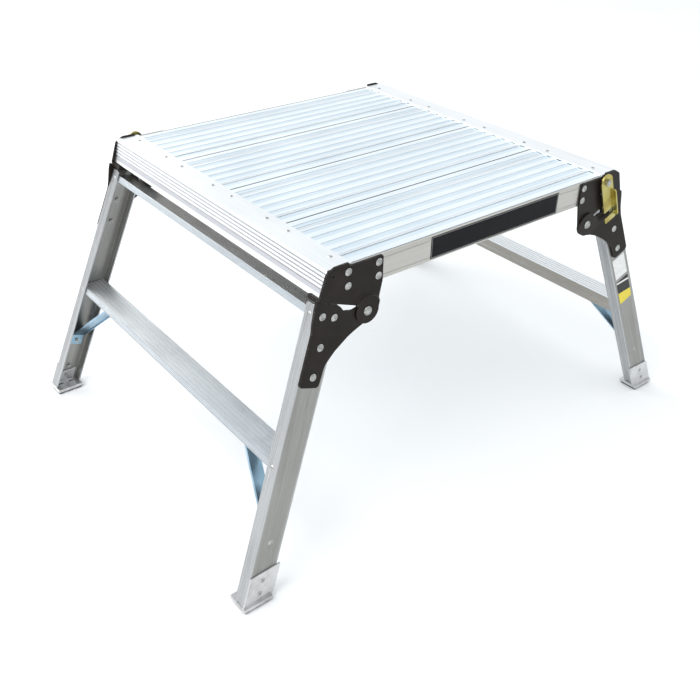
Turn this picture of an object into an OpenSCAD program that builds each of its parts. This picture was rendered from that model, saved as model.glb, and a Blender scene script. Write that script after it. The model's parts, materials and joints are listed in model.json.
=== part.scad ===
// Folding aluminium work platform with two splayed leg frames.
// Origin: on the floor, under the middle of the platform. X runs along the planks, Z is up.
// Every corner part is drawn once, at the near right corner, and then placed by corner().

/* [Platform] */
// Length of the platform along the planks
deck_len = 590; // [560:5:640]
// Depth of the platform across the planks
deck_depth = 600; // [560:5:640]
// Height of the plank surface above the floor
deck_h = 470; // [440:5:500]
// Depth of a plank section
plank_h = 22; // [20:0.5:24]
// Gap between two planks
plank_gap = 2.6; // [0.5:0.1:4]
// Height of a side rail
side_rail_h = 39; // [37:0.5:40]
// Height of the end rail below the planks' surface
end_rail_drop = 36; // [34:0.5:37]

/* [Leg frames] */
// Tilt of the leg frames from the vertical
leg_tilt = 21.8; // [20:0.1:23]
// Outward splay of each leg within its frame
splay = 5.9; // [5:0.1:6.5]
// Width of the leg channel's web
leg_web = 43; // [41:0.5:44]
// Depth of the leg channel's flanges
leg_flange = 21; // [19:0.5:23]
// Distance of the tread below the pivot, along the frame
tread_drop = 230; // [200:1:245]

/* [Hinges] */
// Distance of the pivot in from the end rail's inner edge
pivot_in = 25; // [24:0.5:27]
// Distance of the pivot below the planks' surface
pivot_drop = 76; // [74:0.5:78]
// Thickness of the hinge plates and leg brackets
plate_t = 3; // [2.5:0.1:3]
// Radius of the pivot bolt
pivot_r = 4.5; // [4:0.1:5]

/* [Hidden] */
$fn = 48;
wall = 2.5;
skin = 2.2;
half_len = deck_len / 2;
half_depth = deck_depth / 2;
flange_t = 2;
flange_w = 39;
flange_x = half_len - flange_w;
end_slope = 0.27;
end_ledge_clear = 6;
end_notch = 36;
plank_n = 4;
plank_pitch = (deck_depth - 2 * wall) / plank_n;
plank_w = plank_pitch - plank_gap;
plank_end_gap = 3;
groove_n = 6;
groove_w = 10.4;
groove_depth = 0.7;
groove_pitch = 22.4;
flute_n = 5;
flute_pitch = 5.3;
flute_w = 2;
flute_depth = 1.1;
ledge_w = 20;
ledge_z = deck_h - plank_h;

pivot_x = flange_x - pivot_in;
pivot_z = deck_h - pivot_drop;
fit = 0.05;
slack = 0.3;
nose_r = 19;
cup_r = 20.3;
cap_r = 22.5;
cone_r = 27;
cap_w = plate_t + slack;
seat_w = cap_w + plate_t + 0.2;
stop_gap = 0.1;
stop_z = 5.2;
stop_x = 57;
stop_len = 29;
stop_depth = 24;

leg_x = 41.3;
leg_mid = leg_x + leg_web / 2;
leg_top = 25;
face_gap = 0.05;
leg_run = 470;
bend_drop = 26;
seam = 1;
plate_lift = 0.1;
rung_x = leg_x + wall;
rung_w = leg_web - 2 * wall;
bar_drop = 9.6;
bar_lip = 10;
tread_lip = 10.5;
tread_inner_lip = 17.9;
tread_ribs = 6;
bar_ribs = 8;
tread_rib = 0.6;
rib_gap = 1.1;
rung_clear = 8.5;
brace_w = 22;
brace_edge = 2;
brace_edge_h = 3;
brace_edge_in = 0.4;
brace_run_in = 6;
brace_fill = 0.1;
brace_tab = 20;
brace_reach = 79;
brace_foot = 311;
brace_head_h = 0.5;

foot_h = 9.5;
foot_t = 3;
foot_len = 48.5;
foot_out = 6.2;
foot_in = 31.5;
foot_plate_h = 54;
foot_plate_in = 4.5;
foot_plate_out = 0.5;
foot_tongue_h = 33;
tray_z = 4;
tray_wall = 2;
foot_tongue_w = 30;
foot_slot_w = 9;
pad_lift = 4.6;
pad_rib_w = 9;
pad_inset = 2.2;

latch_bolt = [50, 53.5];
latch_w = 26.5;
latch_t = 2.5;
latch_gap = 8.4;
latch_foot = -25;
latch_slot_h = 11.4;
latch_tab = [-20, 32];
latch_tab_out = 8.6;
keeper = [57.5, -8];
bolt_r = 3;

rivet_r = 2.4;
rivet_fit = 0.1;
rivet_head_r = 5.4;
rivet_head_h = 2.2;
small_r = 2;
small_head_r = 3.3;
small_head_h = 1.3;
foot_head_r = 4.2;
foot_head_h = 1.8;
deck_rivet_edge = 25;
deck_rivet_x = flange_x + 12.3;

label_t = 0.4;
rail_label = [-115, 151];
rail_label_h = 34;

// Blind rivets of a hinge plate, from the pivot: [outboard, up]
plate_rivets = [[-19.8, 45.8], [-19.8, 66], [31.5, 46.5], [31.5, 67]];
// Blind rivets in a leg's web, from the bend: [across, down]
bracket_rivets = [31, 73];
top_rivets = [leg_mid - 10.4, leg_mid + 10.4];
top_rivet_z = -14;
foot_rivets = [381, 402];
brace_rivet = 322;
bar_rivet = [11.5, 15.8];
tread_rivet = [11.5, tread_drop + 5.6];

aluminium = [0.80, 0.80, 0.79];
aluminium_leg = [0.68, 0.67, 0.64];
black_steel = [0.16, 0.14, 0.13];
zinc = [0.78, 0.79, 0.80];
yellow_zinc = [0.72, 0.66, 0.25];
rubber = [0.06, 0.06, 0.06];

// ---- Places ----

// Places a near right corner part at a corner: n or f for near or far, l or r for left or right
module corner(name) {
    if (name == "nr") children();
    if (name == "fr") mirror([0, 1, 0]) children();
    if (name == "fl") rotate([0, 0, 180]) children();
    if (name == "nl") rotate([0, 0, 180]) mirror([0, 1, 0]) children();
}

// The right pivot, upright: X outboard, Y = 0 at the middle of the platform
module pivot_space() {
    translate([pivot_x, 0, pivot_z]) children();
}

// The right leg frame: as pivot_space, tilted with the legs
module frame_space() {
    pivot_space() rotate([0, -leg_tilt, 0]) children();
}

// One leg: Y = 0 is the web's outer face, Y grows inward, Z runs up the leg from the bend
module leg_space() {
    frame_space() translate([0, -half_depth, -bend_drop]) rotate([-splay, 0, 0]) children();
}

// A flat outline (outboard, up) made solid from w0 to w1 outside the side rail's face
module slab(w0, w1) {
    translate([0, -half_depth - w0, 0]) rotate([90, 0, 0]) linear_extrude(w1 - w0) children();
}

// ---- Outlines ----

function unit(v) = v / norm(v);
function flat(p) = [p[0], p[1]];
// The arc that rounds corner b, between a and c, to radius r
function arc(a, b, c, r, n = 6) =
    let (
        u = unit(a - b),
        v = unit(c - b),
        half = acos(u * v) / 2,
        m = b + unit(u + v) * r / sin(half),
        p = b + u * r / tan(half) - m,
        q = b + v * r / tan(half) - m,
        start = atan2(p[1], p[0]),
        turn = (atan2(q[1], q[0]) - start + 540) % 360 - 180
    )
    [for (i = [0 : n]) m + r * [cos(start + turn * i / n), sin(start + turn * i / n)]];
// An outline of [x, y, radius] corners
function rounded(pts) =
    let (n = len(pts))
    [for (i = [0 : n - 1])
        each pts[i][2] == 0 ? [flat(pts[i])]
            : arc(flat(pts[(i + n - 1) % n]), flat(pts[i]), flat(pts[(i + 1) % n]), pts[i][2])];
// A point of the tilted frame as seen from the upright pivot
function upright(p) = [
    p[0] * cos(leg_tilt) - p[1] * sin(leg_tilt),
    p[0] * sin(leg_tilt) + p[1] * cos(leg_tilt)
];
function with_r(p, r) = [p[0], p[1], r];
// Distance of a leg's web outside the side rail's face, at a depth below the bend along the leg
function web_out(down) = down * sin(splay);

// ---- Fasteners, axis +Z, seat at Z = 0, shank down ----

module dome(r, h) {
    ball_r = (r * r + h * h) / (2 * h);
    intersection() {
        translate([0, 0, h - ball_r]) sphere(ball_r);
        cylinder(h = h, r = r);
    }
}

module rivet(grip, head_r = rivet_head_r, head_h = rivet_head_h, r = rivet_r) {
    bulb_r = 1.35 * r;
    mandrel_r = 0.42 * r;
    difference() {
        union() {
            dome(head_r, head_h);
            translate([0, 0, -grip]) cylinder(h = grip, r = r);
            translate([0, 0, -grip - 3.5]) cylinder(h = 3.4, r = bulb_r);
            translate([0, 0, -grip - 0.2]) cylinder(h = 0.3, r = r);
        }
        translate([0, 0, head_h - mandrel_r]) cylinder(h = 2, r = mandrel_r);
        translate([0, 0, -grip - 4]) cylinder(h = 2, r = 1.6 * mandrel_r);
    }
}

module hex_nut(r, h, bore) {
    difference() {
        cylinder(h = h, r = r, $fn = 6);
        translate([0, 0, -1]) cylinder(h = h + 2, r = bore);
    }
}

// Turns a fastener to point out of the near side at a distance outside the rail's face
module outward(w) {
    translate([0, -half_depth - w, 0]) rotate([90, 0, 0]) children();
}

// ---- Planks and rails ----

module plank_section() {
    foot_w = 8;
    web_t = 1.8;
    difference() {
        translate([-plank_w / 2, -skin]) square([plank_w, skin]);
        for (i = [0 : groove_n - 1])
            translate([(i - (groove_n - 1) / 2) * groove_pitch - groove_w / 2, -groove_depth])
                square([groove_w, groove_depth + 1]);
    }
    for (x = [-62, -20, 20, 62]) {
        translate([x - web_t / 2, -plank_h]) square([web_t, plank_h - skin + 0.1]);
        translate([x - foot_w / 2, -plank_h]) square([foot_w, web_t]);
    }
}

module plank(i) {
    run = half_len - plank_end_gap;
    y = (i - (plank_n + 1) / 2) * plank_pitch;
    color(aluminium) difference() {
        translate([-run, y, deck_h]) rotate([90, 0, 90]) linear_extrude(2 * run) plank_section();
        for (side = [-1, 1], rim = [-1, 1])
            translate([side * deck_rivet_x, y + rim * (plank_w / 2 - deck_rivet_edge), deck_h - 5])
                cylinder(h = 6, r = small_r + rivet_fit);
    }
}

// End rail outline, x from the flange's inner edge, y from the planks' surface
module end_rail_section() {
    toe = flange_w + end_slope * (end_rail_drop + flange_t);
    slant = atan(end_slope);
    difference() {
        polygon([
            [0, 0], [0, flange_t], [flange_w, flange_t], [toe, -end_rail_drop],
            [toe - 14, -end_rail_drop], [toe - 14, -end_rail_drop + wall],
            [toe - wall, -end_rail_drop + wall], [flange_w - wall + end_slope * plank_h, -plank_h - wall],
            [2, -plank_h - wall], [2, -plank_h], [flange_w - wall + end_slope * plank_h, -plank_h],
            [flange_w - wall, 0]
        ]);
        for (i = [0 : flute_n - 1])
            translate([flange_w, flange_t]) rotate(slant)
                translate([-flute_depth, -6 - i * flute_pitch - flute_w / 2])
                    square([flute_depth + 1, flute_w]);
    }
}

module end_rail() {
    color(aluminium) difference() {
        translate([flange_x, half_depth, deck_h]) rotate([90, 0, 0])
            linear_extrude(deck_depth) end_rail_section();
        for (side = [-1, 1])
            translate([flange_x + end_notch / 2, side * half_depth, ledge_z - wall / 2])
                cube([end_notch, 2 * end_ledge_clear, wall + 1], center = true);
        for (i = [1 : plank_n], rim = [-1, 1])
            translate([
                deck_rivet_x,
                (i - (plank_n + 1) / 2) * plank_pitch + rim * (plank_w / 2 - deck_rivet_edge),
                deck_h - 1
            ]) cylinder(h = flange_t + 2, r = small_r + rivet_fit);
    }
}

module side_rail_section() {
    translate([0, -side_rail_h]) square([wall, side_rail_h]);
    translate([0, -side_rail_h]) square([ledge_w, wall]);
}

// The near side rail: a web with a bottom flange, and a ledge that carries the planks
module side_rail() {
    web_run = half_len - 5;
    ledge_run = flange_x - 1;
    bolt = upright(latch_bolt);
    color(aluminium_leg) difference() {
        union() {
            translate([-web_run, -half_depth, deck_h]) rotate([90, 0, 90])
                linear_extrude(2 * web_run) translate([0, -side_rail_h]) square([wall, side_rail_h]);
            translate([-ledge_run, -half_depth, deck_h]) rotate([90, 0, 90])
                linear_extrude(2 * ledge_run) union() {
                    side_rail_section();
                    translate([0, -plank_h - wall]) square([ledge_w, wall]);
                }
        }
        for (p = plate_rivets)
            translate([-pivot_x - p[0], 0, pivot_z + p[1]]) outward(-10)
                cylinder(h = 20, r = rivet_r + rivet_fit);
        for (i = [0 : 2])
            translate([pivot_x + plate_rivets[i][0], 0, pivot_z + plate_rivets[i][1]]) outward(-10)
                cylinder(h = 20, r = rivet_r + rivet_fit);
        translate([pivot_x + bolt[0], 0, pivot_z + bolt[1]]) outward(-10)
            cylinder(h = 20, r = bolt_r + rivet_fit);
    }
}

module deck_rivet_set() {
    color(zinc) for (end = [-1, 1], i = [1 : plank_n], rim = [-1, 1])
        translate([
            end * deck_rivet_x,
            (i - (plank_n + 1) / 2) * plank_pitch + rim * (plank_w / 2 - deck_rivet_edge),
            deck_h + flange_t
        ]) rivet(flange_t + skin, small_head_r, small_head_h, small_r);
}

// The rivets of all four hinge plates; a latch bolt takes the place of the last one on two of them
module hinge_rivet_set() {
    color(zinc) for (c = ["nl", "nr", "fl", "fr"], i = [0 : (c == "nl" || c == "fr") ? 3 : 2])
        corner(c) pivot_space() translate([plate_rivets[i][0], 0, plate_rivets[i][1]])
            outward(plate_t) rivet(plate_t + wall);
}

module rail_label_plate() {
    color(black_steel) translate([
        rail_label[0],
        -half_depth - label_t,
        deck_h - side_rail_h / 2 - rail_label_h / 2
    ]) cube([rail_label[1] - rail_label[0], label_t, rail_label_h]);
}

// ---- Hinge plates and leg brackets ----

// Hinge plate, from the pivot: [outboard, up, corner radius]
module plate_outline() {
    top = pivot_drop - 0.5;
    lip = pivot_drop + flange_t + 2.5;
    circle(nose_r);
    polygon(rounded([
        [-27, top, 4],
        [-27, 38, 20],
        [-nose_r + 0.2, 0, 0],
        [0, 0, 0],
        with_r(upright([10, stop_z + stop_gap]), 0),
        with_r(upright([88, stop_z + stop_gap]), 3),
        [67, top - 2, 8],
        [54, lip, 8],
        [31, lip, 1],
        [30, top, 0]
    ]));
}

// Leg bracket, in the tilted frame: [outboard, up, corner radius]
module bracket_outline() {
    foot = -114;
    circle(nose_r);
    polygon(rounded([
        [0, 0, 0],
        [-5, -nose_r + 0.9, 0],
        [18.5, -39, 30],
        [36, -61, 30],
        [48, -82, 25],
        [49.5, foot, 6],
        [leg_x + leg_web - 0.4, foot, 6],
        [leg_x + leg_web - 0.4, -40, 40],
        [91, -3, 20],
        [91.5, stop_z - stop_gap, 1],
        [stop_x - 1, stop_z - stop_gap, 3],
        [47, 1.2, 5],
        [40, -3.8, 4],
        [26, -2.2, 2],
        [18, 3, 0]
    ]));
}

// Raised round the pivot: the flat outline, cupped outwards to pass over the other plate
module cupped() {
    slab(0, plate_t) difference() {
        children();
        circle(cup_r);
    }
    intersection() {
        slab(plate_t / 2, cap_w + plate_t) children();
        difference() {
            outward(plate_t / 2) cylinder(h = cap_w + plate_t / 2, r1 = cone_r, r2 = cap_r);
            outward(0) cylinder(h = cap_w, r = cup_r);
        }
    }
}

// Folded stop flange, turned inward from the plate, its lower face at height z
module stop_flange(z) {
    translate([stop_x, -half_depth - plate_t, z]) cube([stop_len, plate_t + stop_depth, plate_t]);
}

module hinge_plate(over) {
    bolt = upright(latch_bolt);
    color(black_steel) difference() {
        union() {
            pivot_space() {
                if (over) cupped() plate_outline();
                if (!over) slab(0, plate_t) plate_outline();
            }
            frame_space() stop_flange(stop_z + stop_gap);
        }
        pivot_space() outward(-1) cylinder(h = 20, r = pivot_r + rivet_fit);
        pivot_space() for (i = [0 : over ? 3 : 2])
            translate([plate_rivets[i][0], 0, plate_rivets[i][1]]) outward(-1)
                cylinder(h = 6, r = rivet_r + rivet_fit);
        if (over) pivot_space() translate([56, 0, 68]) outward(-1) cylinder(h = 6, r = 1.8);
        if (!over) pivot_space() translate([bolt[0], 0, bolt[1]]) outward(-1)
            cylinder(h = 6, r = bolt_r + rivet_fit);
    }
}

module bracket(over) {
    color(black_steel) difference() {
        union() {
            frame_space() {
                if (over) cupped() upper_half() bracket_outline();
                if (!over) slab(0, plate_t) upper_half() bracket_outline();
                stop_flange(stop_z - stop_gap - plate_t);
            }
            leg_space() translate([0, -plate_lift, 0]) rotate([90, 0, 0]) linear_extrude(plate_t)
                translate([0, bend_drop]) lower_half() bracket_outline();
        }
        frame_space() outward(-1) cylinder(h = 20, r = pivot_r + fit);
        leg_space() for (s = bracket_rivets)
            translate([leg_mid, 1, -s]) rotate([90, 0, 0]) cylinder(h = 8, r = rivet_r + rivet_fit);
        if (over) frame_space() translate([keeper[0], 0, keeper[1]]) outward(-1)
            cylinder(h = 6, r = bolt_r + rivet_fit);
        if (!over) frame_space() for (x = top_rivets) translate([x, 0, top_rivet_z]) outward(-1)
            cylinder(h = 6, r = rivet_r + rivet_fit);
    }
}

module upper_half() {
    intersection() {
        children();
        translate([-100, -bend_drop]) square([300, 100]);
    }
}

module lower_half() {
    intersection() {
        children();
        translate([-100, -bend_drop - 200]) square([300, 200 + seam]);
    }
}

// ---- Leg frame parts, near side ----

module leg_section() {
    dent = 0.5;
    x0 = leg_x;
    x1 = leg_x + leg_web;
    difference() {
        translate([x0, face_gap]) square([leg_web, leg_flange - face_gap]);
        translate([x0 + wall, wall]) square([leg_web - 2 * wall, leg_flange]);
        translate([x0 - 1, 6]) square([1 + dent, leg_flange - 10]);
        translate([x1 - dent, 6]) square([1 + dent, leg_flange - 10]);
    }
}

module leg(over) {
    color(aluminium_leg) difference() {
        leg_space() translate([0, 0, -leg_run]) linear_extrude(leg_run + leg_top) leg_section();
        translate([0, -2 * deck_depth, -deck_h]) cube([2 * deck_len, 2 * deck_depth, deck_h + foot_h]);
        leg_space() for (s = concat(bracket_rivets, foot_rivets, [brace_rivet]))
            translate([leg_mid, 5, -s]) rotate([90, 0, 0]) cylinder(h = 10, r = rivet_r + rivet_fit);
        if (over) frame_space() translate([keeper[0], 0, keeper[1]]) outward(-10)
            cylinder(h = 20, r = bolt_r + 0.4);
        if (!over) frame_space() for (x = top_rivets) translate([x, 0, top_rivet_z]) outward(-10)
            cylinder(h = 20, r = rivet_r + 0.5);
        rung_rivet_holes();
    }
}

// Holes through both flanges and both lips of the bar and the tread
module rung_rivet_holes() {
    frame_space() for (p = [bar_rivet, tread_rivet])
        translate([leg_x - 5, rung_rivet_y(p), -p[1]]) rotate([0, 90, 0])
            cylinder(h = leg_web + 10, r = small_r + rivet_fit);
}

// The Y of a bar or tread rivet: its first number is its distance inside the web's outer face
function rung_rivet_y(p) = -half_depth + p[0] - web_out(p[1] - bend_drop);

// A rung across the frame: its outline (across, up) run from side to side, less its rivet holes
module rung(drop, out) {
    run = half_depth + out;
    difference() {
        frame_space() translate([0, run, -drop]) rotate([90, 0, 0]) linear_extrude(2 * run) children();
        rung_rivet_holes();
        mirror([0, 1, 0]) rung_rivet_holes();
    }
}

// Shallow flutes along both lips of a rung
module lip_flutes(lip) {
    for (z = [2.5 : 2.6 : lip - 1.5], x = [rung_x - 1, rung_x + rung_w - 0.5])
        translate([x, -z]) square([1.5, 0.9]);
}

// Grooves that leave ribs along a rung's top, drawn from its inboard corner
module top_grooves(n, w) {
    for (i = [0 : n])
        translate([i * w / n - rib_gap / 2, -tread_rib]) square([rib_gap, tread_rib + 1]);
}

// The bar is a channel with its top square to the legs
module bar_section() {
    difference() {
        translate([rung_x, -bar_lip]) square([rung_w, bar_lip + tread_rib]);
        translate([rung_x + wall, -bar_lip - wall]) square([rung_w - 2 * wall, bar_lip]);
        translate([rung_x, tread_rib]) top_grooves(bar_ribs, rung_w);
        lip_flutes(bar_lip);
    }
}

// The tread's lips follow the leg's flanges and its top is level on the standing bench, over a hollow wedge
module tread_section() {
    right = rung_x + rung_w;
    low = tread_rib / cos(leg_tilt);
    high = low + rung_w * tan(leg_tilt);
    difference() {
        polygon([
            [rung_x, -tread_inner_lip], [rung_x, high], [right, low], [right, -tread_lip],
            [right - wall, -tread_lip], [right - wall, -wall],
            [rung_x + wall, -wall], [rung_x + wall, -tread_inner_lip]
        ]);
        polygon([
            [rung_x + wall, 0],
            [rung_x + wall, (rung_w - wall) * tan(leg_tilt) - wall / cos(leg_tilt)],
            [right - wall / sin(leg_tilt), 0]
        ]);
        translate([rung_x, high]) rotate(-leg_tilt) top_grooves(tread_ribs, rung_w / cos(leg_tilt));
        lip_flutes(tread_lip);
    }
}

module tread() {
    top = tread_drop - rung_w * tan(leg_tilt);
    color(aluminium) difference() {
        rung(tread_drop, web_out(top - bend_drop) - wall - 0.4) tread_section();
        for (side = [0, 1]) mirror([0, side, 0]) frame_space()
            translate([leg_mid, -half_depth + brace_reach + brace_tab / 2, -tread_drop - 5])
                cylinder(h = 6, r = rivet_r + rivet_fit);
    }
}

module bar() {
    color(aluminium_leg) rung(bar_drop, -rung_clear) bar_section();
}

// A straight strip between two points, drawn about its middle line
module strip(p, q, t) {
    d = q - p;
    translate(p) rotate(atan2(d[1], d[0])) translate([0, -t / 2]) square([norm(d), t]);
}

// Flat brace from the tread's underside down to the leg's web, bent to a tab at each end
module brace() {
    mid = wall / 2;
    n = wall + mid;
    foot_top = [
        -brace_foot * sin(splay) + n * cos(splay),
        -bend_drop - brace_foot * cos(splay) - n * sin(splay)
    ];
    foot_end = foot_top + brace_tab * [-sin(splay), -cos(splay)];
    head = [brace_reach, -tread_drop - wall - mid];
    along = unit(head - foot_top);
    lift = [along[1], -along[0]] * brace_edge_h / 2;
    rivet_y = -half_depth + brace_reach + brace_tab / 2;
    color(aluminium) difference() {
        union() {
            brace_layer(-brace_w / 2, brace_w) {
                strip(head, head + [brace_tab, 0], wall);
                strip(head, foot_top, wall);
                strip(foot_top, foot_end, wall);
                translate(head) circle(mid - brace_fill);
                translate(foot_top) circle(mid - brace_fill);
            }
            for (x = [-brace_w / 2 + brace_edge_in, brace_w / 2 - brace_edge_in - brace_edge])
                brace_layer(x, brace_edge)
                    strip(head + lift - along * brace_run_in, foot_top + lift + along * brace_run_in, brace_edge_h);
        }
        frame_space() translate([leg_mid, rivet_y, -tread_drop - 10])
            cylinder(h = 12, r = rivet_r + rivet_fit);
        leg_space() translate([leg_mid, 10, -brace_rivet]) rotate([90, 0, 0])
            cylinder(h = 12, r = rivet_r + rivet_fit);
    }
}

// A layer of the brace: its side outline (inward, up) made w wide from x outboard of the leg's middle
module brace_layer(x, w) {
    frame_space() translate([leg_mid + x, -half_depth, 0]) rotate([90, 0, 90]) linear_extrude(w) children();
}

// Plan of a foot: outboard edge in X and outer edge in Y, found where the leg meets the foot
function foot_down() = (pivot_z - foot_h + leg_mid * sin(leg_tilt)) / cos(leg_tilt);
function foot_x() = pivot_x + leg_mid * cos(leg_tilt) + foot_down() * sin(leg_tilt);
function foot_web_y() = -half_depth - (foot_down() - bend_drop) * tan(splay);

module foot_base(z, h, inset) {
    translate([
        foot_x() - foot_len / 2 + inset,
        foot_web_y() - foot_out + inset,
        z
    ]) cube([foot_len - 2 * inset, foot_out + foot_in - 2 * inset, h]);
}

// Steel foot: a base plate, an outer plate and an inner tongue that grip the web
module foot() {
    color(zinc) difference() {
        union() {
            difference() {
                foot_base(tray_z, foot_h - tray_z, 0);
                foot_base(tray_z - 1, foot_h - foot_t - tray_z + 1, tray_wall);
            }
            intersection() {
                leg_space() translate([leg_x - foot_plate_in, -wall, -leg_run])
                    cube([leg_web + foot_plate_in + foot_plate_out, wall, leg_run]);
                foot_slice(foot_h - 1, foot_plate_h);
            }
            intersection() {
                leg_space() translate([leg_mid - foot_tongue_w / 2, wall, -leg_run])
                    cube([foot_tongue_w, wall, leg_run]);
                foot_slice(foot_h - 1, foot_tongue_h);
            }
        }
        leg_space() for (s = foot_rivets)
            translate([leg_mid, 10, -s]) rotate([90, 0, 0]) cylinder(h = 20, r = rivet_r + rivet_fit);
        for (side = [-1, 1])
            translate([foot_x() + side * 10 - foot_slot_w / 2, foot_web_y() + 9, 0])
                cube([foot_slot_w, 3, foot_h + 1]);
    }
}

// Everything between two heights round the right foot
module foot_slice(z0, z1) {
    translate([pivot_x, -2 * deck_depth, z0]) cube([deck_len, 2 * deck_depth, z1 - z0]);
}

// Rubber pad with three ribs across it, under the foot's base
module pad() {
    rib_pitch = (foot_len - 2 * pad_inset - pad_rib_w) / 2;
    color(rubber) {
        foot_base(pad_lift, foot_h - foot_t - pad_lift, pad_inset);
        for (i = [-1 : 1])
            translate([foot_x() + i * rib_pitch - pad_rib_w / 2, foot_web_y() - foot_out + pad_inset, 0])
                cube([pad_rib_w, foot_out + foot_in - 2 * pad_inset, pad_lift + 0.1]);
    }
}

// All the rivets of one leg and its joints to the bar, tread, brace, foot and bracket
module leg_rivets(over) {
    color(zinc) {
        leg_space() for (s = bracket_rivets)
            translate([leg_mid, -plate_t - plate_lift, -s]) rotate([90, 0, 0])
                rivet(plate_t + plate_lift + wall);
        leg_space() for (i = [0, 1])
            translate([leg_mid, -wall, -foot_rivets[i]]) rotate([90, 0, 0])
                rivet((i + 2) * wall, foot_head_r, foot_head_h);
        leg_space() translate([leg_mid, 0, -brace_rivet]) rotate([90, 0, 0])
            rivet(2 * wall, foot_head_r, foot_head_h);
        if (!over) frame_space() for (x = top_rivets) translate([x, 0, top_rivet_z])
            outward(plate_t) rivet(plate_t + wall + 1.6);
        for (p = [bar_rivet, tread_rivet]) frame_space() {
            translate([leg_x + leg_web - 0.5, rung_rivet_y(p), -p[1]]) rotate([0, 90, 0])
                rivet(2 * wall - 0.5, small_head_r, small_head_h, small_r);
            translate([leg_x + 0.5, rung_rivet_y(p), -p[1]]) rotate([0, -90, 0])
                rivet(2 * wall - 0.5, small_head_r, small_head_h, small_r);
        }
        frame_space() translate([
            leg_mid,
            -half_depth + brace_reach + brace_tab / 2,
            -tread_drop
        ]) rivet(2 * wall, small_head_r, brace_head_h);
    }
}

// The rivets of a whole leg frame; the first corner is the one with the latch
module frame_rivets(latched, plain) {
    corner(latched) leg_rivets(true);
    corner(plain) leg_rivets(false);
}

// ---- Pivot, keeper and latch ----

module pivot_bolt() {
    color(zinc) pivot_space() outward(0) {
        translate([0, 0, seat_w]) dome(7, 3.6);
        translate([0, 0, -9]) cylinder(h = seat_w + 9.1, r = pivot_r);
    }
}

module pivot_washer() {
    color(zinc) pivot_space() outward(0) translate([0, 0, -2.2]) difference() {
        cylinder(h = 2, r = 9);
        translate([0, 0, -1]) cylinder(h = 4, r = pivot_r + 0.1);
    }
}

module pivot_nut() {
    color(zinc) pivot_space() outward(0) translate([0, 0, -7.4]) hex_nut(8, 5, pivot_r + 0.02);
}

module keeper_bolt() {
    color(zinc) frame_space() translate([keeper[0], 0, keeper[1]]) outward(0) {
        translate([0, 0, plate_t]) cylinder(h = latch_gap - plate_t - 0.8, r = 6.4, $fn = 6);
        translate([0, 0, -5.4]) cylinder(h = plate_t + 5.5, r = bolt_r);
        translate([0, 0, -6.8]) cylinder(h = 1.6, r = 5.6);
    }
}

module latch_bush() {
    color(zinc) latch_space() outward(0) translate([0, 0, plate_t]) difference() {
        cylinder(h = latch_gap - plate_t - 0.1, r = 7);
        translate([0, 0, -1]) cylinder(h = 20, r = bolt_r + 0.1);
    }
}

module latch_bolt_solid() {
    head = latch_gap + latch_t + 0.1;
    color(zinc) latch_space() outward(0) {
        translate([0, 0, head]) cylinder(h = 4, r = 5.8, $fn = 6);
        translate([0, 0, -9.5]) cylinder(h = head + 9.6, r = bolt_r);
    }
}

module latch_nut() {
    color(zinc) latch_space() outward(0) translate([0, 0, -wall - 5.5]) rotate(-leg_tilt)
        hex_nut(5.7, 5, bolt_r + 0.02);
}

module latch_space() {
    frame_space() translate([latch_bolt[0], 0, latch_bolt[1]]) children();
}

// Latch plate about its bolt: a strap, a hook slot open inboard, a finger tab folded outward
module latch() {
    length = latch_bolt[1] - latch_foot;
    tab = [latch_tab[0] - latch_bolt[1], latch_tab[1] - latch_bolt[1]];
    slot = keeper - latch_bolt;
    color(yellow_zinc) latch_space() difference() {
        union() {
            slab(latch_gap, latch_gap + latch_t) difference() {
                union() {
                    circle(latch_w / 2);
                    polygon(rounded([
                        [-latch_w / 2, 0, 0],
                        [-latch_w / 2, -length, 3],
                        [latch_w / 2, -length, 3],
                        [latch_w / 2, 0, 0]
                    ]));
                }
                translate(slot) circle(latch_slot_h / 2);
                translate([slot[0] - latch_w, slot[1] - latch_slot_h / 2]) square([latch_w, latch_slot_h]);
            }
            translate([latch_w / 2 - latch_t, -half_depth, 0]) rotate([90, 0, 90])
                linear_extrude(latch_t) polygon(rounded([
                    [-latch_gap, tab[0], 0],
                    [-latch_gap - latch_tab_out, tab[0], 4],
                    [-latch_gap - latch_tab_out, tab[1], 4],
                    [-latch_gap, tab[1], 0]
                ]));
        }
        outward(0) cylinder(h = 20, r = bolt_r + fit);
    }
}

module leg_label(s0, s1, paint) {
    color(paint) leg_space() translate([leg_mid - 15, -label_t, -s1]) cube([30, label_t, s1 - s0]);
}

// ---- Everything, one node at a time ----

plank(1);  // plank_1
plank(2);  // plank_2
plank(3);  // plank_3
plank(4);  // plank_4
rotate([0, 0, 180]) end_rail();  // end_rail_left
end_rail();  // end_rail_right
side_rail();  // side_rail_near
rotate([0, 0, 180]) side_rail();  // side_rail_far
corner("nl") hinge_plate(true);  // hinge_plate_nl
corner("nr") hinge_plate(false);  // hinge_plate_nr
corner("fl") hinge_plate(false);  // hinge_plate_fl
corner("fr") hinge_plate(true);  // hinge_plate_fr
deck_rivet_set();  // deck_rivets
hinge_rivet_set();  // hinge_rivets
for (c = ["nl", "nr", "fl", "fr"]) corner(c) pivot_bolt();  // pivot_bolts
for (c = ["nl", "nr", "fl", "fr"]) corner(c) pivot_washer();  // pivot_washers
for (c = ["nl", "nr", "fl", "fr"]) corner(c) pivot_nut();  // pivot_nuts
for (c = ["nr", "fl"]) corner(c) latch_bolt_solid();  // latch_bolts
for (c = ["nr", "fl"]) corner(c) latch_bush();  // latch_bushes
for (c = ["nr", "fl"]) corner(c) latch_nut();  // latch_nuts
rail_label_plate();  // rail_label
corner("nr") leg(true);  // right_leg_near
corner("fr") leg(false);  // right_leg_far
tread();  // right_tread
bar();  // right_bar
corner("nr") brace();  // right_brace_near
corner("fr") brace();  // right_brace_far
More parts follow.
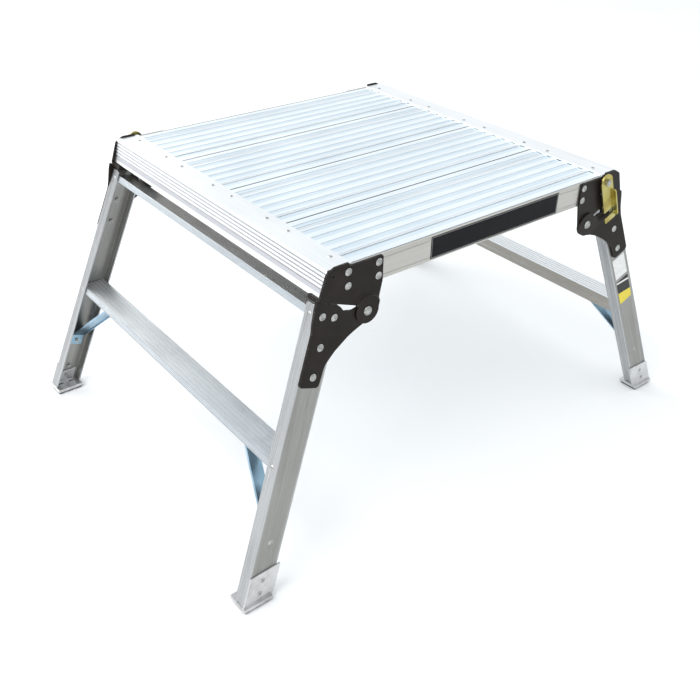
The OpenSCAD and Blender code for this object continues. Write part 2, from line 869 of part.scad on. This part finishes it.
corner("nr") bracket(true);  // right_bracket_near
corner("fr") bracket(false);  // right_bracket_far
corner("nr") keeper_bolt();  // right_keeper
corner("nr") foot();  // right_foot_near
corner("fr") foot();  // right_foot_far
corner("nr") pad();  // right_pad_near
corner("fr") pad();  // right_pad_far
frame_rivets("nr", "fr");  // right_rivets
leg_label(94, 138, "white");  // right_label_plain
leg_label(145, 195, yellow_zinc);  // right_label_yellow
corner("nl") leg(false);  // left_leg_near
corner("fl") leg(true);  // left_leg_far
rotate([0, 0, 180]) tread();  // left_tread
rotate([0, 0, 180]) bar();  // left_bar
corner("nl") brace();  // left_brace_near
corner("fl") brace();  // left_brace_far
corner("nl") bracket(false);  // left_bracket_near
corner("fl") bracket(true);  // left_bracket_far
corner("fl") keeper_bolt();  // left_keeper
corner("nl") foot();  // left_foot_near
corner("fl") foot();  // left_foot_far
corner("nl") pad();  // left_pad_near
corner("fl") pad();  // left_pad_far
frame_rivets("fl", "nl");  // left_rivets
corner("nr") latch();  // latch_right
corner("fl") latch();  // latch_left
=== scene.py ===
"""Looks for the folding work platform: camera, light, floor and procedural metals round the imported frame."""
import json
import math

import bpy
from mathutils import Matrix, Vector


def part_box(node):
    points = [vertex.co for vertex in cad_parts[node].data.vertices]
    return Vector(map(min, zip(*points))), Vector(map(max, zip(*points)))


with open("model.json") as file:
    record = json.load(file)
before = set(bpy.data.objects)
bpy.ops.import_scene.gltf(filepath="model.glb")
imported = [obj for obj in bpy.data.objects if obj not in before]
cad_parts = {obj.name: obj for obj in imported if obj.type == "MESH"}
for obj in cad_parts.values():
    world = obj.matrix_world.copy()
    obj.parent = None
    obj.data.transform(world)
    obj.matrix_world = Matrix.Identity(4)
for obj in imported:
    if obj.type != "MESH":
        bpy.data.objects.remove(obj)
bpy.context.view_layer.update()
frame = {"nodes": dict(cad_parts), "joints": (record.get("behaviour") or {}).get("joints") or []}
NODES = frame["nodes"]

# ---- Camera ----

CAM_AT = Vector((-0.8707, -1.0624, 0.9769))
CAM_FORWARD = Vector((0.52578, 0.65165, -0.54673)).normalized()
CAM_RIGHT = Vector((0.78509, -0.61914, 0.01704)).normalized()
CAM_LENS = 43.87
CAM_SENSOR = 36.0
CAM_CLIP_END = 50


def make_camera():
    data = bpy.data.cameras.new("camera")
    data.lens = CAM_LENS
    data.sensor_width = CAM_SENSOR
    data.clip_end = CAM_CLIP_END
    cam = bpy.data.objects.new("camera", data)
    bpy.context.collection.objects.link(cam)
    back = -CAM_FORWARD
    up = back.cross(CAM_RIGHT).normalized()
    right = up.cross(back)
    cam.matrix_world = Matrix.Translation(CAM_AT) @ Matrix((right, up, back)).transposed().to_4x4()
    bpy.context.scene.camera = cam


make_camera()
bpy.context.scene.view_settings.view_transform = "Standard"

# ---- Node helpers ----


def fill_ramp(node, stops):
    """Sets a colour ramp's stops, each a place from 0 to 1 and a colour."""
    band = node.color_ramp
    while len(band.elements) < len(stops):
        band.elements.new(0.5)
    for element, (at, colour) in zip(band.elements, stops):
        element.position = at
        element.color = (*colour, 1)


class Tree:
    """A short way to write a material's nodes."""

    def __init__(self, name):
        self.mat = bpy.data.materials.new(name)
        self.mat.use_nodes = True
        self.nodes = self.mat.node_tree.nodes
        self.links = self.mat.node_tree.links
        self.shader = next(n for n in self.nodes if n.type == "BSDF_PRINCIPLED")
        source = self.nodes.new("ShaderNodeTexCoord")
        self.coord = source.outputs["Object"]
        self.normal = source.outputs["Normal"]

    def put(self, socket, value):
        """Links another socket in, or sets a number or a colour."""
        if isinstance(value, bpy.types.NodeSocket):
            self.links.new(value, socket)
        elif isinstance(value, tuple):
            socket.default_value = (*value, 1)
        else:
            socket.default_value = value

    def math(self, op, a, b=0.5, clamp=False):
        node = self.nodes.new("ShaderNodeMath")
        node.operation = op
        node.use_clamp = clamp
        self.put(node.inputs[0], a)
        self.put(node.inputs[1], b)
        return node.outputs[0]

    def add(self, a, b):
        return self.math("ADD", a, b)

    def sub(self, a, b):
        return self.math("SUBTRACT", a, b)

    def mul(self, a, b):
        return self.math("MULTIPLY", a, b)

    def above(self, value, limit):
        """1 where value is over the limit, else 0."""
        return self.math("GREATER_THAN", value, limit)

    def below(self, value, limit):
        """1 where value is under the limit, else 0."""
        return self.math("LESS_THAN", value, limit)

    def within(self, value, low, high):
        """1 where value lies between two limits, else 0."""
        return self.mul(self.above(value, low), self.below(value, high))

    def size(self, value):
        return self.math("ABSOLUTE", value)

    def dot(self, vector, axis):
        node = self.nodes.new("ShaderNodeVectorMath")
        node.operation = "DOT_PRODUCT"
        self.put(node.inputs[0], vector)
        node.inputs[1].default_value = axis
        return node.outputs["Value"]

    def place(self, axis):
        """The surface's place along an axis, in metres."""
        return self.dot(self.coord, axis)

    def facing(self, axis):
        """How far the surface faces along an axis, from -1 to 1."""
        return self.dot(self.normal, axis)

    def noise(self, vector, scale, detail=3.0, rough=0.55):
        node = self.nodes.new("ShaderNodeTexNoise")
        for key, value in (("Vector", vector), ("Scale", scale), ("Detail", detail), ("Roughness", rough)):
            self.put(node.inputs[key], value)
        return node.outputs[0]

    def along(self, axis, stretch):
        """Coordinates squeezed along one direction, so that noise becomes streaks in it."""
        a = Vector(axis).normalized()
        helper = Vector(Z_AXIS) if abs(a.z) < 0.9 else Vector(X_AXIS)
        b = a.cross(helper).normalized()
        c = a.cross(b)
        join = self.nodes.new("ShaderNodeCombineXYZ")
        self.put(join.inputs[0], self.mul(self.place(a), stretch))
        self.put(join.inputs[1], self.place(b))
        self.put(join.inputs[2], self.place(c))
        return join.outputs[0]

    def ramp(self, value, stops):
        node = self.nodes.new("ShaderNodeValToRGB")
        fill_ramp(node, stops)
        self.put(node.inputs[0], value)
        return node.outputs[0]

    def mix(self, fac, a, b, blend="MIX"):
        node = self.nodes.new("ShaderNodeMix")
        node.data_type = "RGBA"
        node.blend_type = blend
        self.put(node.inputs[0], fac)
        self.put(node.inputs[6], a)
        self.put(node.inputs[7], b)
        return node.outputs[2]

    def stain(self, where, colour, by):
        """Multiplies a colour by another, where a mask is 1."""
        return self.mix(where, colour, by, "MULTIPLY")

    def edges(self, radius, gain):
        """About 1 on sharp edges and 0 on flat metal."""
        bevel = self.nodes.new("ShaderNodeBevel")
        bevel.samples = 4
        bevel.inputs["Radius"].default_value = radius
        normal = self.nodes.new("ShaderNodeNewGeometry").outputs["Normal"]
        node = self.nodes.new("ShaderNodeVectorMath")
        node.operation = "DOT_PRODUCT"
        self.links.new(bevel.outputs[0], node.inputs[0])
        self.links.new(normal, node.inputs[1])
        off = self.sub(1.0, node.outputs["Value"])
        return self.math("MULTIPLY", off, gain, clamp=True)

    def bump(self, height, distance, strength):
        node = self.nodes.new("ShaderNodeBump")
        node.inputs["Distance"].default_value = distance
        node.inputs["Strength"].default_value = strength
        self.links.new(height, node.inputs["Height"])
        self.links.new(node.outputs[0], self.shader.inputs["Normal"])

    def spread(self, value, low, high):
        """Moves a value from 0..1 to low..high."""
        return self.add(self.mul(value, high - low), low)

    def finish(self, colour, rough, metallic=1.0):
        self.put(self.shader.inputs["Base Color"], colour)
        self.put(self.shader.inputs["Roughness"], rough)
        self.shader.inputs["Metallic"].default_value = metallic
        return self.mat


# ---- Where things are on the part, in metres ----

X_AXIS, Y_AXIS, Z_AXIS = (1, 0, 0), (0, 1, 0), (0, 0, 1)
TILT = math.radians(21.8)
SPLAY = math.radians(5.9)
DECK_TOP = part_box("plank_1")[1][2]
PIVOT = {j["child"]: Vector(j["pos_m"]) for j in frame["joints"] if j["child"].endswith("leg_frame")}
SKIN = 0.0003  # deeper than this below a face is a groove
SEAM_DEPTH = 0.0008
END_SLOPE = 0.27
FLUTE_DEPTH = 0.0013
FLUTE_START = 0.003
END_BAND = (0.0330, 0.0268)
TREAD_RIB = 0.0012
WEB_INNER, WEB_OUTER = 0.0438, 0.0818
LEVEL = 0.75  # a face that looks up more than this is a top
CROSSWISE = 0.9
LABEL_INSET, LABEL_LINE = 0.0012, 0.0007
LABEL_LEAN = 0.4
BLACK_FROM = 0.44
PALE_BAR = (0.80, 0.86)

# ---- Tints: tint(tree, colour) colours some of a material's faces: painted shade and reflection on the metals, print on the labels ----


def groove_and_seam_shade(t, colour):
    """Painted bluish shade in the deck's grooves, and painted dark shade on the edges that face across a seam.
    """
    height = t.place(Z_AXIS)
    # painted bluish shade in the grooves
    colour = t.stain(t.below(height, DECK_TOP - SKIN), colour, (0.85, 0.905, 0.94))
    edge = t.above(t.size(t.facing(Y_AXIS)), CROSSWISE)
    low = t.below(height, DECK_TOP - SEAM_DEPTH)
    # painted dark shade on the plank walls down in the seams
    return t.stain(t.mul(edge, low), colour, (0.12, 0.12, 0.13))


def flute_shade_and_band(t, colour):
    """Painted grey shade deep in the flutes of an end rail's sloping face, and a duller band below them."""
    (_, _, low), (toe, _, top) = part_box("end_rail_right")
    corner = toe - END_SLOPE * (top - low)
    size = math.hypot(1, END_SLOPE)
    x = t.size(t.place(X_AXIS))
    z = t.place(Z_AXIS)
    out = t.add(t.mul(x, 1 / size), t.mul(z, END_SLOPE / size))
    depth = t.sub((corner + END_SLOPE * top) / size, out)
    sunk = t.mul(t.within(depth, SKIN, FLUTE_DEPTH), t.below(z, top - FLUTE_START))
    # painted shade in the flutes
    colour = t.stain(sunk, colour, (0.42, 0.43, 0.45))
    band = t.mul(t.within(z, top - END_BAND[0], top - END_BAND[1]), t.below(depth, SKIN))
    return t.stain(band, colour, (0.62, 0.62, 0.65))


def tread_shade_and_reflection(t, colour):
    """Painted shade and reflection: the lips are painted duller than the top, with a painted bluish reflection
    outside and a painted warm shade inside; the gaps between ribs get painted grey shade.
    """
    lip = t.below(t.size(t.facing(Z_AXIS)), LEVEL)
    outward = t.mul(t.facing(X_AXIS), t.math("SIGN", t.place(X_AXIS)))
    # painted bluish reflection on the outward lip, painted warm shade on the inward lip
    colour = t.stain(t.mul(lip, t.above(outward, 0.0)), colour, (0.44, 0.47, 0.50))
    colour = t.stain(t.mul(lip, t.below(outward, 0.0)), colour, (0.46, 0.425, 0.375))
    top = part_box("right_tread")[1][2]
    # painted grey shade in the gaps between ribs
    gap = t.within(t.place(Z_AXIS), top - TREAD_RIB, top - SKIN)
    return t.stain(gap, colour, (0.66, 0.67, 0.69))


def bar_shade_and_reflection(t, colour):
    """Painted shade and reflection: the bar's top lies in the deck's shade and mirrors its underside, so it is
    painted brown-grey; the other faces get a painted bluish shade.
    """
    top = t.above(t.facing(Z_AXIS), LEVEL)
    colour = t.stain(top, colour, (0.27, 0.215, 0.17))
    # painted bluish shade on the faces that are not the top
    return t.stain(t.sub(1.0, top), colour, (0.78, 0.84, 0.88))


def web_shade(side):
    """Painted shade: the web, set between the flanges, is painted a warmer, darker grey than the flanges on
    each side of it.
    """
    sign = 1 if side == "right" else -1
    across = Vector((sign * math.cos(TILT), 0, math.sin(TILT)))
    start = across.dot(PIVOT[side + "_leg_frame"])

    def tint(t, colour):
        v = t.sub(t.place(across), start)
        # painted shade on the web
        return t.stain(t.within(v, WEB_INNER, WEB_OUTER), colour, (0.74, 0.72, 0.675))
    return tint


def rail_border(t, colour):
    """A thin grey line just inside the long label's edge."""
    (x0, _, z0), (x1, _, z1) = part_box("rail_label")
    x, z = t.place(X_AXIS), t.place(Z_AXIS)

    def inside(inset):
        return t.mul(t.within(x, x0 + inset, x1 - inset), t.within(z, z0 + inset, z1 - inset))

    line = t.sub(inside(LABEL_INSET), inside(LABEL_INSET + LABEL_LINE))
    return t.mix(line, colour, (0.30, 0.30, 0.30))


def warning_bands(t, colour):
    """A plain two-colour label: black above with one pale bar, yellow below."""
    (x0, _, z0), (x1, _, z1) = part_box("right_label_yellow")
    lean = -LABEL_LEAN * math.sin(TILT)
    z = t.place((lean, 0, 1))
    low = z0 + lean * (x0 + x1) / 2
    height = z1 - z0
    colour = t.mix(t.above(z, low + BLACK_FROM * height), colour, (0.02, 0.02, 0.02))
    pale = t.within(z, low + PALE_BAR[0] * height, low + PALE_BAR[1] * height)
    return t.mix(pale, colour, (0.75, 0.75, 0.72))


# ---- Materials ----


def extruded(name, axis, base, dark, rough, tint=None):
    """Satin extruded aluminium: die lines along one axis, soft mottling, and brighter edges that are partly
    rubbed wear and partly a painted highlight.
    """
    t = Tree(name)
    lines = t.noise(t.along(axis, 0.012), 900.0, 2.0)
    wide = t.noise(t.along(axis, 0.03), 120.0, 3.0)
    cloud = t.noise(t.coord, 9.0, 4.0)
    spots = t.noise(t.coord, 260.0, 2.0)
    tone = t.add(t.mul(lines, 0.5), t.mul(wide, 0.5))
    tone = t.add(t.mul(tone, 0.7), t.mul(cloud, 0.3))
    colour = t.ramp(tone, [(0.34, dark), (0.62, base)])
    if tint:
        colour = tint(t, colour)
    # brighter edges: partly rubbed wear, partly a painted highlight
    colour = t.mix(t.mul(t.edges(0.0012, 6.0), 0.5), colour, (0.93, 0.93, 0.93))
    t.bump(t.add(t.mul(lines, 0.8), t.mul(spots, 0.25)), 0.00012, 0.55)
    return t.finish(colour, t.spread(t.add(cloud, t.mul(spots, 0.3)), rough - 0.1, rough + 0.1))


def black_coat(name):
    """Satin black coating on pressed steel: faint orange peel, dust, and bare metal on the edges."""
    t = Tree(name)
    peel = t.noise(t.coord, 900.0, 2.0)
    cloud = t.noise(t.coord, 30.0, 4.0)
    chips = t.noise(t.coord, 420.0, 3.0)
    colour = t.ramp(cloud, [(0.3, (0.009, 0.007, 0.0055)), (0.7, (0.018, 0.0135, 0.011))])
    worn = t.mul(t.edges(0.0009, 9.0), t.above(chips, 0.56))
    colour = t.mix(t.mul(worn, 0.55), colour, (0.32, 0.30, 0.28))
    t.bump(peel, 0.00018, 0.45)
    t.shader.inputs["Specular IOR Level"].default_value = 0.16
    return t.finish(colour, t.spread(cloud, 0.36, 0.52), 0.0)


def plated(name, base, dark, rough, scale):
    """Zinc plate with faint spangle, and edges brightened partly as rubbed wear and partly as a painted
    highlight.
    """
    t = Tree(name)
    cloud = t.noise(t.coord, scale, 4.0)
    fine = t.noise(t.coord, 1400.0, 2.0)
    colour = t.ramp(cloud, [(0.32, dark), (0.66, base)])
    # brighter edges: partly rubbed wear, partly a painted highlight
    colour = t.mix(t.mul(t.edges(0.0006, 6.0), 0.6), colour, (0.92, 0.92, 0.92))
    t.bump(fine, 0.00008, 0.4)
    return t.finish(colour, t.spread(cloud, rough - 0.06, rough + 0.12))


def chromate(name):
    """Yellow chromate: a gold-green base that shifts in patches."""
    t = Tree(name)
    patch = t.noise(t.coord, 34.0, 4.0, 0.6)
    fine = t.noise(t.coord, 900.0, 2.0)
    colour = t.ramp(patch, [
        (0.30, (0.26, 0.20, 0.055)),
        (0.48, (0.44, 0.37, 0.10)),
        (0.62, (0.50, 0.46, 0.18)),
        (0.75, (0.42, 0.33, 0.15)),
    ])
    # paler edges: partly rubbed wear, partly a painted highlight
    colour = t.mix(t.mul(t.edges(0.0006, 6.0), 0.6), colour, (0.78, 0.74, 0.52))
    t.bump(fine, 0.0001, 0.4)
    return t.finish(colour, t.spread(patch, 0.26, 0.42))


def rubber(name):
    """Matt black rubber with a fine grain."""
    t = Tree(name)
    cloud = t.noise(t.coord, 60.0, 4.0)
    grain = t.noise(t.coord, 1500.0, 2.0)
    colour = t.ramp(cloud, [(0.3, (0.012, 0.012, 0.012)), (0.7, (0.032, 0.031, 0.03))])
    t.bump(grain, 0.0003, 0.6)
    return t.finish(colour, t.spread(cloud, 0.62, 0.82), 0.0)


def film(name, base, dark, rough, specular=0.3, tint=None):
    """Adhesive film with slight waviness and scuffs; a tint may print plain areas on it."""
    t = Tree(name)
    wave = t.noise(t.coord, 45.0, 3.0)
    scuff = t.noise(t.along(X_AXIS, 0.15), 500.0, 3.0)
    colour = t.ramp(t.add(t.mul(scuff, 0.6), t.mul(wave, 0.4)), [(0.35, dark), (0.6, base)])
    if tint:
        colour = tint(t, colour)
    t.shader.inputs["Specular IOR Level"].default_value = specular
    t.bump(wave, 0.0006, 0.35)
    return t.finish(colour, t.spread(scuff, rough - 0.06, rough + 0.14), 0.0)


def leg_axis(right, near):
    """Direction of a leg, from the tilt of its frame and its own splay."""
    x = math.sin(TILT) * math.cos(SPLAY) * (1 if right else -1)
    y = -math.sin(SPLAY) if near else math.sin(SPLAY)
    return (x, y, -math.cos(TILT) * math.cos(SPLAY))


# Palettes: the metal's usual tone, then its darker streaks
DECK = ((0.90, 0.93, 0.95), (0.76, 0.81, 0.85))
END = ((0.90, 0.90, 0.905), (0.80, 0.805, 0.81))
RAIL = ((0.55, 0.535, 0.50), (0.45, 0.435, 0.405))
LEG = ((0.47, 0.48, 0.49), (0.34, 0.345, 0.35))
TREAD = ((0.88, 0.885, 0.89), (0.76, 0.77, 0.78))
BAR = ((0.68, 0.70, 0.72), (0.50, 0.52, 0.55))
BRACE = ((0.34, 0.50, 0.62), (0.20, 0.31, 0.40))
ZINC = ((0.50, 0.505, 0.49), (0.23, 0.235, 0.225))
FOOT = ((0.66, 0.66, 0.66), (0.46, 0.455, 0.45))
BLACK_FILM = ((0.009, 0.009, 0.010), (0.004, 0.004, 0.005))
WHITE_FILM = ((0.80, 0.80, 0.78), (0.66, 0.66, 0.64))
YELLOW_FILM = ((0.80, 0.66, 0.06), (0.66, 0.52, 0.05))

black_steel = black_coat("black_steel")
zinc_steel = plated("zinc_steel", *ZINC, 0.3, 220.0)
yellow_zinc = chromate("yellow_zinc")

# A word found in a node's name gives its material; any other node is a fastener of zinc steel
MATERIALS = {
    "plank": extruded("deck_aluminium", X_AXIS, *DECK, 0.36, groove_and_seam_shade),
    "end_rail": extruded("end_rail_aluminium", Y_AXIS, *END, 0.36, flute_shade_and_band),
    "side_rail": extruded("side_rail_aluminium", X_AXIS, *RAIL, 0.34),
    "_tread": extruded("tread_aluminium", Y_AXIS, *TREAD, 0.36, tread_shade_and_reflection),
    "_bar": extruded("bar_aluminium", Y_AXIS, *BAR, 0.30, bar_shade_and_reflection),
    "brace": plated("brace_zinc", *BRACE, 0.3, 40.0),
    "hinge_plate": black_steel,
    "bracket": black_steel,
    "foot": plated("foot_steel", *FOOT, 0.28, 45.0),
    "latch_right": yellow_zinc,
    "latch_left": yellow_zinc,
    "pad": rubber("rubber"),
    "rail_label": film("label_black", *BLACK_FILM, 0.5, 0.12, rail_border),
    "label_plain": film("label_white", *WHITE_FILM, 0.35),
    "label_yellow": film("label_yellow", *YELLOW_FILM, 0.35, tint=warning_bands),
}
for side in ("right", "left"):
    for place in ("near", "far"):
        axis = leg_axis(side == "right", place == "near")
        name = "leg_aluminium_%s_%s" % (side, place)
        MATERIALS["%s_leg_%s" % (side, place)] = extruded(name, axis, *LEG, 0.33, web_shade(side))


def material_for(node):
    return next((mat for word, mat in MATERIALS.items() if word in node), zinc_steel)


NO_BEVEL = ("label", "rivets", "end_rail")
WELD_WITHIN = 1e-6
BEVEL_WIDTH = 0.0004
BEVEL_ANGLE = math.radians(35)


def soften(obj):
    """Welds the CAD faces together and rounds their edges a little, so that they catch the light."""
    weld = obj.modifiers.new("weld", "WELD")
    weld.merge_threshold = WELD_WITHIN
    bevel = obj.modifiers.new("bevel", "BEVEL")
    bevel.width = BEVEL_WIDTH
    bevel.segments = 2
    bevel.limit_method = "ANGLE"
    bevel.angle_limit = BEVEL_ANGLE
    bevel.use_clamp_overlap = True
    bevel.harden_normals = True


for name, obj in NODES.items():
    mat = material_for(name)
    if not obj.material_slots:
        obj.data.materials.append(mat)
    for slot in obj.material_slots:
        slot.material = mat
    if not any(word in name for word in NO_BEVEL):
        soften(obj)

# ---- Floor and light ----

FLOOR_HALF = 12.0
SKY_STRENGTH = 1.12


def make_floor():
    r = FLOOR_HALF
    mesh = bpy.data.meshes.new("floor")
    mesh.from_pydata([(-r, -r, 0), (r, -r, 0), (r, r, 0), (-r, r, 0)], [], [(0, 1, 2, 3)])
    floor = bpy.data.objects.new("floor", mesh)
    bpy.context.collection.objects.link(floor)
    t = Tree("floor_white")
    colour = t.ramp(t.noise(t.coord, 1.5, 2.0), [(0.3, (0.86, 0.86, 0.86)), (0.7, (0.89, 0.89, 0.89))])
    floor.data.materials.append(t.finish(colour, 0.9, 0.0))


def area_light(name, at, target, size, energy, colour):
    data = bpy.data.lights.new(name, "AREA")
    data.shape = "RECTANGLE"
    data.size, data.size_y = size
    data.energy = energy
    data.color = colour
    obj = bpy.data.objects.new(name, data)
    obj.location = at
    obj.rotation_euler = (Vector(target) - Vector(at)).to_track_quat("-Z", "Y").to_euler()
    bpy.context.collection.objects.link(obj)


def make_world():
    """A pale studio all round, a little bluer at middle height."""
    world = bpy.data.worlds.new("studio")
    bpy.context.scene.world = world
    world.use_nodes = True
    nodes, links = world.node_tree.nodes, world.node_tree.links
    back = next(n for n in nodes if n.type == "BACKGROUND")
    coord = nodes.new("ShaderNodeTexCoord")
    split = nodes.new("ShaderNodeSeparateXYZ")
    band = nodes.new("ShaderNodeValToRGB")
    fill_ramp(band, [
        (0.0, (0.98, 0.98, 0.98)),
        (0.25, (0.93, 0.96, 0.98)),
        (0.6, (0.84, 0.92, 0.97)),
        (1.0, (1.0, 1.0, 1.0)),
    ])
    links.new(coord.outputs["Generated"], split.inputs[0])
    links.new(split.outputs[2], band.inputs[0])
    links.new(band.outputs[0], back.inputs[0])
    back.inputs[1].default_value = SKY_STRENGTH


make_floor()
make_world()
area_light("key", (-1.8, -0.2, 2.4), (0, 0, 0.4), (1.8, 1.8), 34, (1.0, 0.99, 0.98))
area_light("back", (-0.9, 3.2, 1.9), (-0.2, 0, 0.4), (2.6, 1.6), 70, (1.0, 1.0, 1.0))
